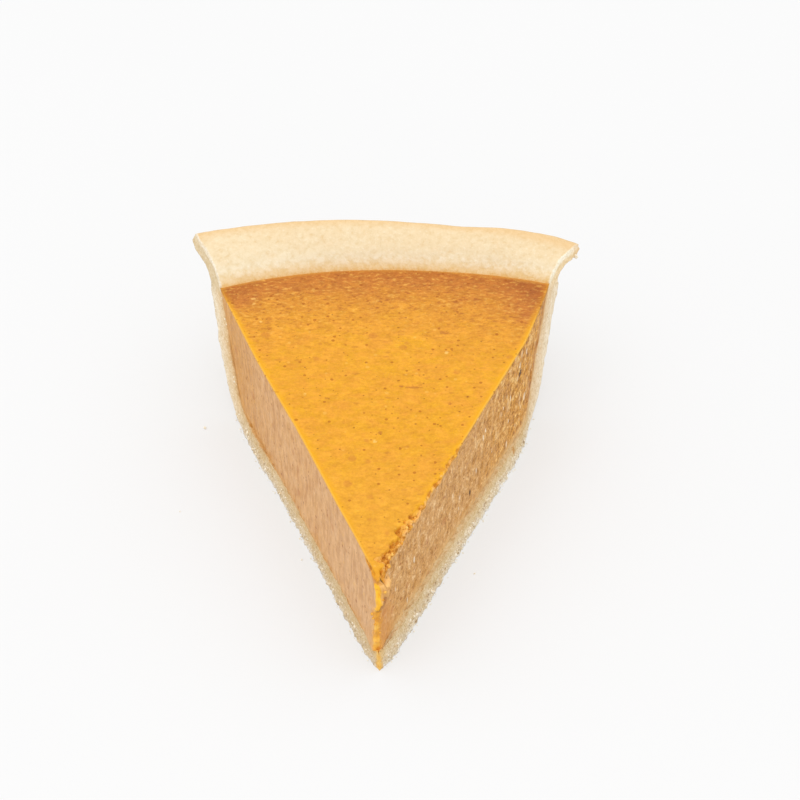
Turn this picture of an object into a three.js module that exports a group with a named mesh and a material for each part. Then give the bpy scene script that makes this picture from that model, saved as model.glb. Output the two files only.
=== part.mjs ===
// A slice of pumpkin pie, one eighth of a pie of about 9 inches across.
// Two solids: the pastry crust (base, leaning wall and flared rim, as one shell) and the baked
// filling that fills it up to where the wall starts to flare out into the rim.
//
// Millimetres, +Z up. The slice rests on its base at z = 0, tip towards -Y and rim towards +Y,
// with the origin under the middle of its bounding box.

import * as THREE from 'three';
import { mergeVertices } from 'three/addons/utils/BufferGeometryUtils.js';

// ---- Driving dimensions -------------------------------------------------------------------

// The wedge. The apex is where the two cuts meet; angles are measured from the slice's middle line.
const LEFT_ANGLE = THREE.MathUtils.degToRad(22.3);
const RIGHT_ANGLE = THREE.MathUtils.degToRad(24.9);
// The right-hand cut swings inwards from this radius on, by this much at the wall, and back
// out again along the lip.
const SWING_START = 78;
const SWING_WALL = 100;
const SWING_IN = 3.1;
const SWING_LIP = 111;
const SWING_IN_AT_LIP = 1.3;
// The pie is a little out of round: its wall's top stands this share further out at each cut.
const OUT_OF_ROUND_START = 84;
const OUT_OF_ROUND_LEFT = 0.005;
const OUT_OF_ROUND_RIGHT = 0.026;

// The crust's section: base, rounded heel, wall that leans out and thickens upwards, flare, lip.
const BASE_THICKNESS = 4.4;
const HEEL_THICKNESS = 4.8;
const WALL_TOP_THICKNESS = 6.6;
const LIP_THICKNESS = 3.2;
const LIP_END_THICKNESS = 2.2;
const HEEL_RADIUS = 6;
const WALL_LEAN = THREE.MathUtils.degToRad(66);
const WALL_TOP_RADIUS = 99.2;
const WALL_TOP_HEIGHT = 30;
const FLARE_RADIUS = 13.5;
const LIP_SLOPE = THREE.MathUtils.degToRad(10);
const LIP_LENGTH = 1.6;
// Near both cuts the wall's inside swells inwards below the rim.
const WALL_SWELL = 1.6;
const WALL_SWELL_RADIUS = 93;
const WALL_SWELL_HALF = 8.5;

// How far the crust's cut faces stand proud of the filling's cut faces.
const FOOT_PROUD_LEFT = 1.4;
const FOOT_PROUD_RIGHT = 1.9;
const WALL_PROUD_LEFT = 1.5;
const WALL_PROUD_RIGHT = 0.5;
const FOOT_END = 68;
const FOOT_FADE = 20;
const FOOT_NOSE = 1.2;
const FOOT_NOSE_REACH = 8;
// The crust's left cut bulges a little at the heel and is hollow under the lip; the right-hand
// cut is hollow lower down on the wall.
const BULGE_LEFT = 0.6;
const BULGE_LEFT_RADIUS = 73;
const BULGE_LEFT_HALF = 13;
const HOLLOW_LEFT = 0.9;
const HOLLOW_LEFT_RADIUS = 101;
const HOLLOW_LEFT_HALF = 7;
const HOLLOW_RIGHT = 0.8;
const HOLLOW_RIGHT_RADIUS = 92;
const HOLLOW_RIGHT_HALF = 9;

// The filling: its top is dished, lowest at the tip.
const FILLING_TIP_HEIGHT = 25.0;
const FILLING_RIM_HEIGHT = 31.0;
const FILLING_RIM_RADIUS = 100;
const FILLING_NOSE_RADIUS = 1.0;
const FILLING_NOSE_WIDTH = 0.45;
const FILLING_NOSE_REACH = 7;
const FILLING_TIP_WORN = 1.3;
const FILLING_TIP_WORN_REACH = 3.4;
// The left cut face leans outwards by this much at the filling's underside.
const FILLING_SPREAD_LEFT = 0.6;
// Its left top edge stands out a little along the outer half of the cut.
const BROW_LEFT = 0.6;
const BROW_RADIUS = 74;
const BROW_HALF = 26;
const GAP = 0.3;

// A lump of filling dragged down the nose by the knife: its middle height, half its height, how
// far it stands out to the front and to the right, and how far along the cut it goes.
const LUMP_HEIGHT = 19.8;
const LUMP_HALF = 3.8;
const LUMP_FRONT = 0.9;
const LUMP_RIGHT = 1.1;
const LUMP_REACH = 5;

// The torn top edge along the right-hand cut: it widens from this radius in towards the tip.
const TORN_REACH = 36;
const TORN_WIDTH = 3.0;
const TORN_DEPTH = 1.3;
const TORN_RAGGED = 0.5;

// Relief on the cut faces and the unevenness of the rim.
const CUT_RELIEF_REACH = 0.1;
const CRUST_FLAKE = 0.22;
const CRUST_CRUMBLE = 0.3;
const LEFT_CUT_RELIEF = 0.12;
const RIGHT_CUT_RELIEF = 0.3;
const TOP_RELIEF = 0.22;
const RIM_WAVE = 0.35;
const RIM_REACH_LEFT = 5;
const RIM_REACH_RIGHT = 2;
const RIM_LIFT_LEFT = 1.05;
const RIM_DROOP_LEFT = 1.9;
const RIM_DROOP_RIGHT = 3.4;

// Steps of the meshes: across the slice, along it and through its thickness.
const ACROSS_STEPS = 18;
const CRUST_SECTION_STEPS = { base: 36, heel: 4, wall: 9, flare: 8, lip: 3 };
const CRUST_THROUGH_STEPS = 4;
const FILLING_ALONG_STEPS = 34;
const FILLING_UP_STEPS = 8;

// ---- Small helpers ------------------------------------------------------------------------

const { lerp, smoothstep, clamp } = THREE.MathUtils;

/** A repeatable value between -1 and 1 for a cell of the noise lattice. */
function cellValue(i, j, k) {
  const wave = Math.sin(i * 127.1 + j * 311.7 + k * 74.7) * 43758.5453;
  return 2 * (wave - Math.floor(wave)) - 1;
}

/** Smooth noise between -1 and 1, with features about one unit wide. */
function noise(x, y, z) {
  const [i, j, k] = [Math.floor(x), Math.floor(y), Math.floor(z)];
  const [u, v, w] = [x - i, y - j, z - k].map((t) => t * t * (3 - 2 * t));
  const alongX = (dj, dk) => lerp(cellValue(i, j + dj, k + dk), cellValue(i + 1, j + dj, k + dk), u);
  return lerp(lerp(alongX(0, 0), alongX(1, 0), v), lerp(alongX(0, 1), alongX(1, 1), v), w);
}

/** A hump: 1 where x is at its middle, falling to 0 at half its width to either side. */
function hump(x, middle, half) {
  return clamp(1 - ((x - middle) / half) ** 2, 0, 1);
}

/** How near a share across the slice is to the left cut: 1 at the cut and 0 further in. */
function nearLeft(across) {
  return 1 - smoothstep(across, 0, CUT_RELIEF_REACH);
}

/** The same for the right cut. */
function nearRight(across) {
  return smoothstep(across, 1 - CUT_RELIEF_REACH, 1);
}

// ---- The wedge ----------------------------------------------------------------------------

/** How far the right-hand cut has swung in where the crust's inner surface has this radius. */
function swingIn(innerRadius) {
  const towardsWall = clamp((innerRadius - SWING_START) / (SWING_WALL - SWING_START), 0, 1) ** 1.4;
  const alongLip = smoothstep(innerRadius, SWING_WALL, SWING_LIP);
  return lerp(SWING_IN * towardsWall, SWING_IN_AT_LIP, alongLip);
}

/** How hollow the right-hand cut is there, low on the wall. */
function hollowRight(innerRadius) {
  return HOLLOW_RIGHT * hump(innerRadius, HOLLOW_RIGHT_RADIUS, HOLLOW_RIGHT_HALF);
}

/** How far the wall's inside swells inwards there: only near the cuts. */
function wallSwell(across, innerRadius) {
  return WALL_SWELL * (2 * across - 1) ** 4 * hump(innerRadius, WALL_SWELL_RADIUS, WALL_SWELL_HALF);
}

/** The share by which the pie is out of round there: most at the wall, and at the cuts. */
function outOfRound(across, radius) {
  const side = (2 * across - 1) ** 2;
  const most = across < 0.5 ? OUT_OF_ROUND_LEFT : OUT_OF_ROUND_RIGHT;
  return 1 + most * side * smoothstep(radius, OUT_OF_ROUND_START, WALL_TOP_RADIUS);
}

/**
 * The place of a point given its share across the slice, its radius and its height, with the
 * left and right edges moved sideways by the given steps (positive is outwards).
 */
function placeInWedge(across, radius, height, leftStep, rightStep) {
  const angle = lerp(-LEFT_ANGLE, RIGHT_ANGLE, across);
  const step = lerp(-leftStep, rightStep, across);
  const reach = radius * outOfRound(across, radius);
  const x = reach * Math.sin(angle) + step * Math.cos(angle);
  const y = reach * Math.cos(angle) - step * Math.sin(angle);
  return new THREE.Vector3(x, y, height);
}

// ---- The crust's section ------------------------------------------------------------------

/** The crust's inner surface as a path in radius and height, from the tip out to the lip. */
function innerProfile() {
  const profile = new THREE.Path();
  const heelTurn = new THREE.Vector2(Math.sin(WALL_LEAN), 1 - Math.cos(WALL_LEAN));
  const heelRise = HEEL_RADIUS * heelTurn.y;
  const wallRise = WALL_TOP_HEIGHT - BASE_THICKNESS - heelRise;
  const wallRun = wallRise / Math.tan(WALL_LEAN);
  const heelStart = WALL_TOP_RADIUS - wallRun - HEEL_RADIUS * heelTurn.x;
  const flareX = WALL_TOP_RADIUS + FLARE_RADIUS * Math.sin(WALL_LEAN);
  const flareZ = WALL_TOP_HEIGHT - FLARE_RADIUS * Math.cos(WALL_LEAN);
  const quarter = Math.PI / 2;
  profile.moveTo(0, BASE_THICKNESS);
  profile.lineTo(heelStart, BASE_THICKNESS);
  profile.absarc(heelStart, BASE_THICKNESS + HEEL_RADIUS, HEEL_RADIUS, -quarter, WALL_LEAN - quarter);
  profile.lineTo(WALL_TOP_RADIUS, WALL_TOP_HEIGHT);
  profile.absarc(flareX, flareZ, FLARE_RADIUS, WALL_LEAN + quarter, LIP_SLOPE + quarter, true);
  const lipX = profile.currentPoint.x + LIP_LENGTH * Math.cos(LIP_SLOPE);
  const lipZ = profile.currentPoint.y + LIP_LENGTH * Math.sin(LIP_SLOPE);
  profile.lineTo(lipX, lipZ);
  return profile;
}

/** Stations along the section, each with its inner point, direction and thickness. */
function sectionStations() {
  const pieces = innerProfile().curves.filter((curve) => curve.getLength() > 1e-6);
  const steps = Object.values(CRUST_SECTION_STEPS);
  const thicknessAtEnds = [
    [BASE_THICKNESS, BASE_THICKNESS],
    [BASE_THICKNESS, HEEL_THICKNESS],
    [HEEL_THICKNESS, WALL_TOP_THICKNESS],
    [WALL_TOP_THICKNESS, LIP_THICKNESS],
    [LIP_THICKNESS, LIP_END_THICKNESS],
  ];
  const evenly = (share) => share;
  const rounded = (share) => 1 - Math.sqrt(1 - share * share);
  const tapers = [evenly, evenly, evenly, Math.sqrt, rounded];
  const stations = [];
  pieces.forEach((piece, index) => {
    const [from, to] = thicknessAtEnds[index];
    const count = steps[index] + (index === pieces.length - 1 ? 1 : 0);
    for (let step = 0; step < count; step += 1) {
      const share = step / steps[index];
      const taper = tapers[index](share);
      stations.push({
        point: piece.getPointAt(share),
        direction: piece.getTangentAt(share),
        thickness: lerp(from, to, taper),
      });
    }
  });
  return stations;
}

const stations = sectionStations();

/** The radius of the crust's inner surface at a height above its base. */
function innerRadiusAt(height) {
  for (let index = 1; index < stations.length; index += 1) {
    const below = stations[index - 1].point;
    const above = stations[index].point;
    if (above.y >= height && above.y > below.y) {
      return lerp(below.x, above.x, (height - below.y) / (above.y - below.y));
    }
  }
  return stations[stations.length - 1].point.x;
}

// ---- Solids as warped boxes ---------------------------------------------------------------

/** A closed mesh: the surface of a unit box, divided into steps, with every corner moved by map. */
function warpedBox(acrossSteps, alongSteps, upSteps, map) {
  const box = new THREE.BoxGeometry(1, 1, 1, acrossSteps, alongSteps, upSteps);
  box.deleteAttribute('normal');
  box.deleteAttribute('uv');
  const geometry = mergeVertices(box);
  const position = geometry.attributes.position;
  for (let index = 0; index < position.count; index += 1) {
    const across = Math.round((position.getX(index) + 0.5) * acrossSteps) / acrossSteps;
    const along = Math.round((position.getY(index) + 0.5) * alongSteps) / alongSteps;
    const up = Math.round((position.getZ(index) + 0.5) * upSteps) / upSteps;
    const point = map(across, along, up);
    position.setXYZ(index, point.x, point.y, point.z);
  }
  geometry.computeVertexNormals();
  return geometry;
}

/** The rim is uneven: it waves gently, and splays out and droops towards both cuts. */
function rimSplay(across, innerRadius) {
  const onRim = smoothstep(innerRadius, WALL_TOP_RADIUS + 1, SWING_LIP);
  const left = 1 - smoothstep(across, -0.1, 0.5);
  const right = smoothstep(across, 0.8, 1);
  const wave = RIM_WAVE * noise(across * 4.3, 7.7, 1.9);
  const lift = RIM_LIFT_LEFT * (1 - smoothstep(across, 0.2, 0.55));
  const droopLeft = RIM_DROOP_LEFT * left ** 2;
  const droopRight = RIM_DROOP_RIGHT * clamp((across - 0.8) / 0.2, 0, 1) ** 1.6;
  return {
    out: onRim * (RIM_REACH_LEFT * left + RIM_REACH_RIGHT * right + wave),
    up: onRim * (wave + lift - droopLeft - droopRight),
  };
}

/** A point of the crust: across the slice, along the section and through its thickness. */
function crustPoint(across, along, through) {
  const station = stations[Math.round(along * (stations.length - 1))];
  const depth = (1 - through) * station.thickness;
  const splay = rimSplay(across, station.point.x);
  const swell = through * wallSwell(across, station.point.x);
  let radius = station.point.x + station.direction.y * depth - swell;
  const height = station.point.y - station.direction.x * depth + splay.up;
  const onWall = smoothstep(radius, FOOT_END, FOOT_END + FOOT_FADE);
  const flake = CRUST_FLAKE * noise(radius * 0.35 + height * 0.3, through * 5, across * 9 + 3);
  const crumble = CRUST_CRUMBLE * (1 - through) * noise(radius * 0.6, height * 0.6, across * 5 + 11);
  const proudLeft = lerp(FOOT_PROUD_LEFT, WALL_PROUD_LEFT, onWall);
  const proudRight = lerp(FOOT_PROUD_RIGHT, WALL_PROUD_RIGHT, onWall);
  const foot = 1 - 0.5 * through;
  const bulgeLeft = BULGE_LEFT * hump(station.point.x, BULGE_LEFT_RADIUS, BULGE_LEFT_HALF);
  const hollowLeft = HOLLOW_LEFT * hump(station.point.x, HOLLOW_LEFT_RADIUS, HOLLOW_LEFT_HALF);
  const leftRelief = nearLeft(across) * (flake + crumble) + bulgeLeft - hollowLeft;
  const rightRelief = nearRight(across) * (flake + crumble) - hollowRight(station.point.x);
  const leftStep = proudLeft * foot + leftRelief;
  const rightStep = proudRight * foot + rightRelief - swingIn(station.point.x);
  const middle = 1 - (2 * across - 1) ** 2;
  const nose = clamp(1 - radius / FOOT_NOSE_REACH, 0, 1) ** 2;
  radius += splay.out - FOOT_NOSE * middle * nose;
  return placeInWedge(across, radius, height, leftStep, rightStep);
}

/** The height of the filling's top at a radius: dished, and worn down at the very tip. */
function fillingTopHeight(radius) {
  const dished = lerp(FILLING_TIP_HEIGHT, FILLING_RIM_HEIGHT, radius / FILLING_RIM_RADIUS);
  return dished - FILLING_TIP_WORN * (1 - smoothstep(radius, 0, FILLING_TIP_WORN_REACH));
}

/** How deep the top edge is torn away at a radius and a distance from the right-hand cut. */
function tornDepth(radius, fromRight) {
  const towardsTip = clamp(1 - radius / TORN_REACH, 0, 1);
  const ragged = 1 + TORN_RAGGED * noise(radius * 0.45, 3.1, 5.2);
  const width = TORN_WIDTH * towardsTip ** 1.6 * ragged;
  const depth = TORN_DEPTH * Math.min(1, 2 * towardsTip) * ragged;
  return depth * (1 - smoothstep(fromRight, 0.5 * width, width + 0.01));
}

/** How much of the lump on the nose there is at a radius and a height. */
function lumpShare(radius, height) {
  const fading = 1 - smoothstep(radius, FILLING_NOSE_RADIUS, LUMP_REACH);
  return fading * hump(height, LUMP_HEIGHT, LUMP_HALF);
}

/** A point of the filling: across the slice, from tip to rim, and from its underside up. */
function fillingPoint(across, along, up) {
  const bottom = BASE_THICKNESS + GAP;
  const wallHeight = lerp(bottom, FILLING_RIM_HEIGHT, up);
  const innerRadius = innerRadiusAt(wallHeight - GAP);
  const wallRadius = innerRadius - GAP - wallSwell(across, innerRadius);
  const radius = lerp(FILLING_NOSE_RADIUS, wallRadius, along);
  const torn = tornDepth(radius, (1 - across) * radius * (LEFT_ANGLE + RIGHT_ANGLE));
  const inside = smoothstep(along, 0, 0.06) * (1 - smoothstep(along, 0.94, 1));
  const ripple = TOP_RELIEF * inside * noise(across * radius * 0.12, radius * 0.16, 2.4);
  const height = lerp(bottom, fillingTopHeight(radius) + up * (ripple - torn), up);
  const middleHeight = 4 * up * (1 - up);
  const leftRelief = LEFT_CUT_RELIEF * middleHeight * noise(radius * 0.2, height * 0.1, 8.5);
  const rightRelief = RIGHT_CUT_RELIEF * middleHeight * noise(radius * 0.4, height * 0.1, 4.5);
  const nose = clamp(1 - radius / FILLING_NOSE_REACH, 0, 1);
  const noseStep = FILLING_NOSE_WIDTH * nose * (1 + 0.5 * noise(height * 0.35, 1.7, 6.3));
  const lump = lumpShare(radius, height);
  const hollow = (1 - up) * hollowRight(radius);
  const brow = BROW_LEFT * up ** 3 * hump(radius, BROW_RADIUS, BROW_HALF);
  const leftStep = leftRelief + noseStep + FILLING_SPREAD_LEFT * (1 - up) + brow;
  const rightStep = rightRelief + noseStep + LUMP_RIGHT * lump - hollow - swingIn(radius);
  return placeInWedge(across, radius - LUMP_FRONT * lump, height, leftStep, rightStep);
}

// ---- The slice ----------------------------------------------------------------------------

function crust() {
  const geometry = warpedBox(ACROSS_STEPS, stations.length - 1, CRUST_THROUGH_STEPS, crustPoint);
  const material = new THREE.MeshStandardMaterial({ color: 0xeddcba, roughness: 0.85, metalness: 0 });
  const mesh = new THREE.Mesh(geometry, material);
  mesh.name = 'crust';
  return mesh;
}

function filling() {
  const geometry = warpedBox(ACROSS_STEPS, FILLING_ALONG_STEPS, FILLING_UP_STEPS, fillingPoint);
  const material = new THREE.MeshStandardMaterial({ color: 0xf2aa3c, roughness: 0.5, metalness: 0 });
  const mesh = new THREE.Mesh(geometry, material);
  mesh.name = 'filling';
  return mesh;
}

const slice = new THREE.Group();
slice.add(crust(), filling());

const bounds = new THREE.Box3().setFromObject(slice);
const middle = bounds.getCenter(new THREE.Vector3());
slice.position.set(-middle.x, -middle.y, 0);

export default slice;
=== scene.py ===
"""A slice of pumpkin pie on a white table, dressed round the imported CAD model.

Shapes are worked out in millimetres in the pie's own space: the apex of the slice is at the
origin, radius runs out to the rim, and z = 0 is the table. mesh_piece() moves them into the
frame and into metres.
"""

import math

import bpy
import numpy as np
from mathutils import Matrix, Vector


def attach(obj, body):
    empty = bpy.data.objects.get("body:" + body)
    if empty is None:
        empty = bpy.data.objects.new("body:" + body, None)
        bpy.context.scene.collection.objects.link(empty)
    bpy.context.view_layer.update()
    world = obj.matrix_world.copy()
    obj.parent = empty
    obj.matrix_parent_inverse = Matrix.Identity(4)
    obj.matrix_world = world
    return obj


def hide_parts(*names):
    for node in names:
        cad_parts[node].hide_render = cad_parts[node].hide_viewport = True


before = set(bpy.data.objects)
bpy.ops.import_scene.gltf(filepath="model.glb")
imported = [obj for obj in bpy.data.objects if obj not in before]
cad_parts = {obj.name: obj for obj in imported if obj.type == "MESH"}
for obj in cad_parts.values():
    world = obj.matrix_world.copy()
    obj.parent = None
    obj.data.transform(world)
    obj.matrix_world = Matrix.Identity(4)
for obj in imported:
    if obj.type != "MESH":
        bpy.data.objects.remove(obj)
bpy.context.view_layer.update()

MM = 0.001

# ---- Driving dimensions (mm, radians) ----
# As in the CAD model, but for the tuck of the lip, the lump, the torn edges and the nose's width,
# which are finer here, and the sink, which closes the gap that the solids need.

APEX = (-1.26, -55.09, 0.0)

LEFT_ANGLE = math.radians(22.3)
RIGHT_ANGLE = math.radians(24.9)
SWING_START, SWING_WALL, SWING_IN = 78, 100, 3.1
SWING_LIP, SWING_IN_AT_LIP = 111, 1.3
OUT_OF_ROUND_START, OUT_OF_ROUND_LEFT, OUT_OF_ROUND_RIGHT = 84, 0.005, 0.026

BASE_THICKNESS, HEEL_THICKNESS, WALL_TOP_THICKNESS = 4.4, 4.8, 6.6
LIP_THICKNESS, LIP_END_THICKNESS = 3.2, 2.2
HEEL_RADIUS = 6
WALL_LEAN = math.radians(66)
WALL_TOP_RADIUS, WALL_TOP_HEIGHT = 99.2, 30
FLARE_RADIUS = 13.5
LIP_SLOPE = math.radians(10)
LIP_LENGTH = 1.6
LIP_TUCK = 0.8
WALL_SWELL, WALL_SWELL_RADIUS, WALL_SWELL_HALF = 1.6, 93, 8.5

FOOT_PROUD_LEFT, FOOT_PROUD_RIGHT = 1.4, 1.9
WALL_PROUD_LEFT, WALL_PROUD_RIGHT = 1.5, 0.5
FOOT_END, FOOT_FADE = 68, 20
FOOT_NOSE, FOOT_NOSE_REACH = 1.2, 8
BULGE_LEFT, BULGE_LEFT_RADIUS, BULGE_LEFT_HALF = 0.6, 73, 13
HOLLOW_LEFT, HOLLOW_LEFT_RADIUS, HOLLOW_LEFT_HALF = 0.9, 101, 7
HOLLOW_RIGHT, HOLLOW_RIGHT_RADIUS, HOLLOW_RIGHT_HALF = 0.8, 92, 9

FILLING_TIP_HEIGHT, FILLING_RIM_HEIGHT, FILLING_RIM_RADIUS = 25.0, 31.0, 100
FILLING_NOSE_RADIUS, FILLING_NOSE_WIDTH, FILLING_NOSE_REACH = 1.0, 0.4, 7
FILLING_TIP_WORN, FILLING_TIP_WORN_REACH = 1.3, 3.4
FILLING_SPREAD_LEFT = 0.6
BROW_LEFT, BROW_RADIUS, BROW_HALF = 0.6, 74, 26
FILLING_SINK = 0.12

LUMP_FOOT, LUMP_TOP, LUMP_REACH = 16.0, 23.7, 5.0
LUMP_FRONT, LUMP_RIGHT = 0.8, 1.5

TORN_EDGE, TORN_WIDTH, TORN_DEPTH, TORN_FADE = 0.5, 2.4, 1.2, (48, 36)
TORN_MIDDLE, TORN_HALF, TORN_START = 7.5, 15, (0.8, 3.5)
TORN_LEFT_REACH, TORN_LEFT_WIDTH, TORN_LEFT_DEPTH = 7, 0.8, 0.7

RIM_WAVE = 0.35
RIM_REACH_LEFT, RIM_REACH_RIGHT = 5, 2
RIM_LIFT_LEFT, RIM_DROOP_LEFT, RIM_DROOP_RIGHT = 1.05, 1.9, 3.4


# ---- Numbers ----

def lerp(a, b, t):
    return a + (b - a) * t


def smooth(x, low, high):
    """0 below low, 1 above high, and a smooth step between."""
    t = np.clip((x - low) / (high - low), 0, 1)
    return t * t * (3 - 2 * t)


def hump(x, middle, half):
    """1 where x is at its middle, falling to 0 at half its width to either side."""
    return np.clip(1 - ((x - middle) / half) ** 2, 0, 1)


def cell_value(i, j, k):
    """A repeatable value between -1 and 1 for a cell of the noise lattice."""
    wave = np.sin(i * 127.1 + j * 311.7 + k * 74.7) * 43758.5453
    return 2 * (wave - np.floor(wave)) - 1


def noise(x, y, z):
    """Smooth noise between -1 and 1, with features about one unit wide."""
    x, y, z = np.broadcast_arrays(*(np.asarray(v, float) for v in (x, y, z)))
    i, j, k = np.floor(x), np.floor(y), np.floor(z)
    u, v, w = (t * t * (3 - 2 * t) for t in (x - i, y - j, z - k))

    def along_x(dj, dk):
        return lerp(cell_value(i, j + dj, k + dk), cell_value(i + 1, j + dj, k + dk), u)

    return lerp(lerp(along_x(0, 0), along_x(1, 0), v), lerp(along_x(0, 1), along_x(1, 1), v), w)


def rough(x, y, z, octaves=4):
    """Noise with finer and weaker octaves laid over it."""
    total = 0
    for octave in range(octaves):
        scale = 2.03 ** octave
        total = total + noise(x * scale + 9.1 * octave, y * scale, z * scale) / scale
    return total


def spread(steps, ends):
    """Values from 0 to 1, packed closer at both ends as `ends` goes from 0 to 1."""
    even = np.linspace(0, 1, steps + 1)
    return even - ends * np.sin(2 * math.pi * even) / (2 * math.pi)


# ---- The wedge ----

def swing_in(inner_radius):
    """How far the right-hand cut has swung in where the crust's inside has this radius."""
    towards_wall = np.clip((inner_radius - SWING_START) / (SWING_WALL - SWING_START), 0, 1) ** 1.4
    along_lip = smooth(inner_radius, SWING_WALL, SWING_LIP)
    return lerp(SWING_IN * towards_wall, SWING_IN_AT_LIP, along_lip)


def hollow_right(inner_radius):
    """How hollow the right-hand cut is there, low on the wall."""
    return HOLLOW_RIGHT * hump(inner_radius, HOLLOW_RIGHT_RADIUS, HOLLOW_RIGHT_HALF)


def wall_swell(across, inner_radius):
    """How far the wall's inside swells inwards there: only near the cuts."""
    return WALL_SWELL * (2 * across - 1) ** 4 * hump(inner_radius, WALL_SWELL_RADIUS, WALL_SWELL_HALF)


def out_of_round(across, radius):
    side = (2 * across - 1) ** 2
    most = np.where(across < 0.5, OUT_OF_ROUND_LEFT, OUT_OF_ROUND_RIGHT)
    return 1 + most * side * smooth(radius, OUT_OF_ROUND_START, WALL_TOP_RADIUS)


def place_in_wedge(across, radius, height, left_step, right_step):
    """Points from their share across, radius and height, with both edges moved sideways."""
    angle = lerp(-LEFT_ANGLE, RIGHT_ANGLE, across)
    step = lerp(-left_step, right_step, across)
    reach = radius * out_of_round(across, radius)
    x = reach * np.sin(angle) + step * np.cos(angle)
    y = reach * np.cos(angle) - step * np.sin(angle)
    return np.stack([x, y, height], -1)


# ---- The crust's section ----

def arc_of_section(centre, radius, slopes, side):
    """Points and directions on an arc that turns through the slopes; side is 1 turning up."""
    sine, cosine = np.sin(slopes), np.cos(slopes)
    points = np.stack([centre[0] + side * radius * sine, centre[1] - side * radius * cosine], -1)
    return points, np.stack([cosine, sine], -1)


def line_of_section(start, slope, lengths):
    direction = np.array([math.cos(slope), math.sin(slope)])
    points = np.array(start) + np.outer(lengths, direction)
    return points, np.repeat(direction[None], len(lengths), 0)


def crust_section(base_steps, heel_steps, wall_steps, flare_steps, lip_steps):
    """The crust's inside from the tip to the lip: points, directions, thickness and tuck."""
    heel_rise = HEEL_RADIUS * (1 - math.cos(WALL_LEAN))
    wall_length = (WALL_TOP_HEIGHT - BASE_THICKNESS - heel_rise) / math.sin(WALL_LEAN)
    wall_foot = WALL_TOP_RADIUS - wall_length * math.cos(WALL_LEAN)
    heel_start = wall_foot - HEEL_RADIUS * math.sin(WALL_LEAN)
    flare_centre = (WALL_TOP_RADIUS + FLARE_RADIUS * math.sin(WALL_LEAN),
                    WALL_TOP_HEIGHT - FLARE_RADIUS * math.cos(WALL_LEAN))
    lip_start = (flare_centre[0] - FLARE_RADIUS * math.sin(LIP_SLOPE),
                 flare_centre[1] + FLARE_RADIUS * math.cos(LIP_SLOPE))

    def shares(steps, last=False):
        return np.linspace(0, 1, steps + 1)[: steps + 1 if last else steps]

    base, heel, wall = shares(base_steps), shares(heel_steps), shares(wall_steps)
    flare, lip = shares(flare_steps), np.sin(shares(lip_steps, last=True) * math.pi / 2)
    rounding = 1 - np.sqrt(1 - lip ** 2)
    pieces = [
        line_of_section((0, BASE_THICKNESS), 0, base * heel_start),
        arc_of_section((heel_start, BASE_THICKNESS + HEEL_RADIUS), HEEL_RADIUS, heel * WALL_LEAN, 1),
        line_of_section((wall_foot, BASE_THICKNESS + heel_rise), WALL_LEAN, wall * wall_length),
        arc_of_section(flare_centre, FLARE_RADIUS, lerp(WALL_LEAN, LIP_SLOPE, flare), -1),
        line_of_section(lip_start, LIP_SLOPE, lip * LIP_LENGTH),
    ]
    thickness = np.concatenate([
        np.full(base_steps, BASE_THICKNESS, float),
        lerp(BASE_THICKNESS, HEEL_THICKNESS, heel),
        lerp(HEEL_THICKNESS, WALL_TOP_THICKNESS, wall),
        lerp(WALL_TOP_THICKNESS, LIP_THICKNESS, np.sqrt(flare)),
        lerp(LIP_THICKNESS, LIP_END_THICKNESS, rounding),
    ])
    tuck = np.zeros_like(thickness)
    tuck[-len(lip):] = LIP_TUCK * rounding
    points = np.concatenate([piece[0] for piece in pieces])
    directions = np.concatenate([piece[1] for piece in pieces])
    return points, directions, thickness, tuck


SECTION = crust_section(base_steps=250, heel_steps=14, wall_steps=46, flare_steps=26, lip_steps=8)


# How far each point of the section lies from the lip's end, along the crust's inside.
STRIDES = np.linalg.norm(np.diff(SECTION[0], axis=0), axis=1)
FROM_LIP = np.append(np.cumsum(STRIDES[::-1])[::-1], 0)


def inner_radius_at(height):
    """The radius of the crust's inner surface at a height above its base."""
    radius, level = SECTION[0][:, 0], SECTION[0][:, 1]
    rising = np.searchsorted(level, BASE_THICKNESS + 1e-6) - 1
    return np.interp(height, level[rising:], radius[rising:])


# ---- Meshes ----

def box_lattice(across_steps, along_steps, up_steps):
    """The corners (as steps) and quads of a box's surface that is divided into steps."""
    size = (across_steps + 1, along_steps + 1, up_steps + 1)
    number = np.arange(size[0] * size[1] * size[2]).reshape(size)
    quads = []
    for axis in range(3):
        for side in (0, -1):
            sheet = np.take(number, side, axis=axis)
            corners = [sheet[:-1, :-1], sheet[1:, :-1], sheet[1:, 1:], sheet[:-1, 1:]]
            quad = np.stack(corners, -1).reshape(-1, 4)
            inward = (side == 0) != (axis == 1)
            quads.append(quad[:, ::-1] if inward else quad)
    used, quads = np.unique(np.concatenate(quads), return_inverse=True)
    return np.stack(np.unravel_index(used, size), -1), quads.reshape(-1, 4)


def add_object(name, data):
    made = bpy.data.objects.new(name, data)
    bpy.context.scene.collection.objects.link(made)
    return made


def mesh_piece(name, points, faces, material, attributes=None):
    """A smooth-shaded object from points in pie space, with its float attributes."""
    mesh = bpy.data.meshes.new(name)
    placed = (np.asarray(points) + np.array(APEX)) * MM
    mesh.from_pydata(placed.tolist(), [], np.asarray(faces).tolist())
    mesh.polygons.foreach_set("use_smooth", np.ones(len(mesh.polygons), bool))
    for key, values in (attributes or {}).items():
        layer = mesh.attributes.new(key, "FLOAT", "POINT")
        layer.data.foreach_set("value", np.asarray(values, np.float32))
    mesh.materials.append(material)
    mesh.update()
    return add_object(name, mesh)


# ---- Shader graphs ----

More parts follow.
